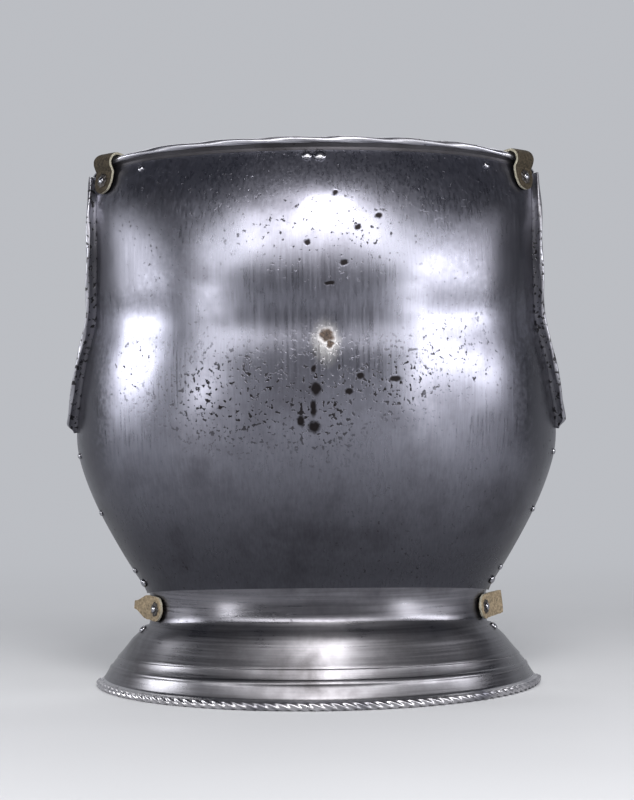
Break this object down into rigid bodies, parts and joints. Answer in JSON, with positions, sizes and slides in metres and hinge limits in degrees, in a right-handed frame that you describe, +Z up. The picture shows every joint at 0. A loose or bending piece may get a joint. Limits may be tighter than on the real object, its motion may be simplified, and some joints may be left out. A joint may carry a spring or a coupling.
{
  "type": "armour backplate",
  "caption": "Steel armour backplate with turned neck and armhole edges, a waist band and a hinged, flared culet with a roped lower edge; leather strap ends at shoulders and waist.",
  "frame": {"origin": "middle of the box around the part in X and Y, on the plane that the roped edge stands on", "axes": "+Z up along the wearer's spine, +Y forward to the wearer, +X to the wearer's right; the outer side faces -Y"},
  "size_m": [0.3834, 0.1402, 0.4085],
  "materials": {
    "plate_steel": "polished, pitted",
    "rivet_steel": "worn",
    "dark_washer": "dark, scalloped",
    "rove_iron": "dark",
    "leather": "old, dry"
  },
  "bodies": {
    "back": {"back_plate": "plate_steel", "waist_plate": "plate_steel", "neck_roves": "rove_iron", "shoulder_rivet_roves": "rove_iron", "side_rivet_roves": "rove_iron", "waist_rivet_roves": "rove_iron", "shoulder_strap_roves": "rove_iron", "waist_strap_roves": "rove_iron", "neck_rivet_left": "rivet_steel", "shoulder_rivet_left": "rivet_steel", "waist_rivet_left": "rivet_steel", "shoulder_strap_rivet_left": "rivet_steel", "waist_strap_rivet_left": "rivet_steel", "shoulder_rosette_left": "dark_washer", "waist_rosette_left": "dark_washer", "side_rivet_left_lower": "rivet_steel", "side_rivet_left_middle": "rivet_steel", "side_rivet_left_upper": "rivet_steel", "neck_rivet_right": "rivet_steel", "shoulder_rivet_right": "rivet_steel", "waist_rivet_right": "rivet_steel", "shoulder_strap_rivet_right": "rivet_steel", "waist_strap_rivet_right": "rivet_steel", "shoulder_rosette_right": "dark_washer", "waist_rosette_right": "dark_washer", "side_rivet_right_lower": "rivet_steel", "side_rivet_right_middle": "rivet_steel", "side_rivet_right_upper": "rivet_steel"},
    "culet": {"culet_plate": "plate_steel", "culet_rivet_left": "rivet_steel", "culet_rivet_right": "rivet_steel", "culet_rove_left": "rove_iron", "culet_rove_right": "rove_iron"},
    "shoulder_strap_left": {"shoulder_strap_left": "leather"},
    "waist_strap_left": {"waist_strap_left": "leather"},
    "shoulder_strap_right": {"shoulder_strap_right": "leather"},
    "waist_strap_right": {"waist_strap_right": "leather"}
  },
  "joints": [
    {"name": "culet_hinge", "type": "hinge", "parent": "back", "child": "culet", "pos_m": [0, 0.0386, 0.04623], "axis": [1, 0, 0], "range_deg": [-3.4, 0]},
    {"name": "shoulder_strap_left_turn", "type": "hinge", "parent": "back", "child": "shoulder_strap_left", "pos_m": [-0.1545, 0.01938, 0.38278], "axis": [-0.7463, -0.6364, 0.1949], "range_deg": [-2, 2]},
    {"name": "waist_strap_left_turn", "type": "hinge", "parent": "back", "child": "waist_strap_left", "pos_m": [-0.11887, 0.0247, 0.06287], "axis": [-0.8589, -0.5065, 0.0756], "range_deg": [-3, 3]},
    {"name": "shoulder_strap_right_turn", "type": "hinge", "parent": "back", "child": "shoulder_strap_right", "pos_m": [0.1545, 0.01938, 0.38278], "axis": [0.7463, -0.6364, 0.1949], "range_deg": [-2, 2]},
    {"name": "waist_strap_right_turn", "type": "hinge", "parent": "back", "child": "waist_strap_right", "pos_m": [0.12255, 0.03166, 0.0618], "axis": [0.9115, -0.4035, 0.0799], "range_deg": [-3, 3]}
  ]
}
